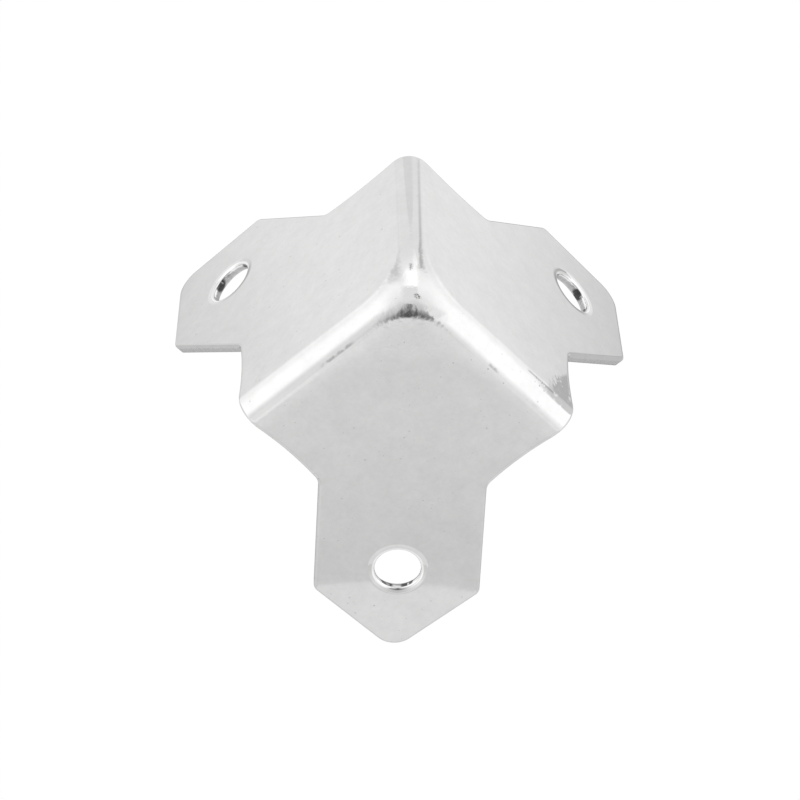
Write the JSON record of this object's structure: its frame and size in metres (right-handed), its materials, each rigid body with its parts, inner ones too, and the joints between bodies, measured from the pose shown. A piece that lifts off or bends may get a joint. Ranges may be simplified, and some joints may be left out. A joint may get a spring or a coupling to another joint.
{
  "type": "case corner",
  "caption": "Pressed steel case corner: square faces folded at right angles round a drawn rounded corner, each with a pointed screw tab.",
  "frame": {"origin": "the corner of the case, where the planes of the three inner faces meet", "axes": "+X out of the side face, -Y out of the front face, +Z out of the top face; the case fills x below 0, y above 0 and z below 0"},
  "size_m": [0.0314, 0.0314, 0.0314],
  "materials": {
    "plated_steel": "bright nickel plating over smooth pressed steel, with a few fine specks"
  },
  "bodies": {
    "root": {"corner_shell": "plated_steel"}
  },
  "joints": []
}
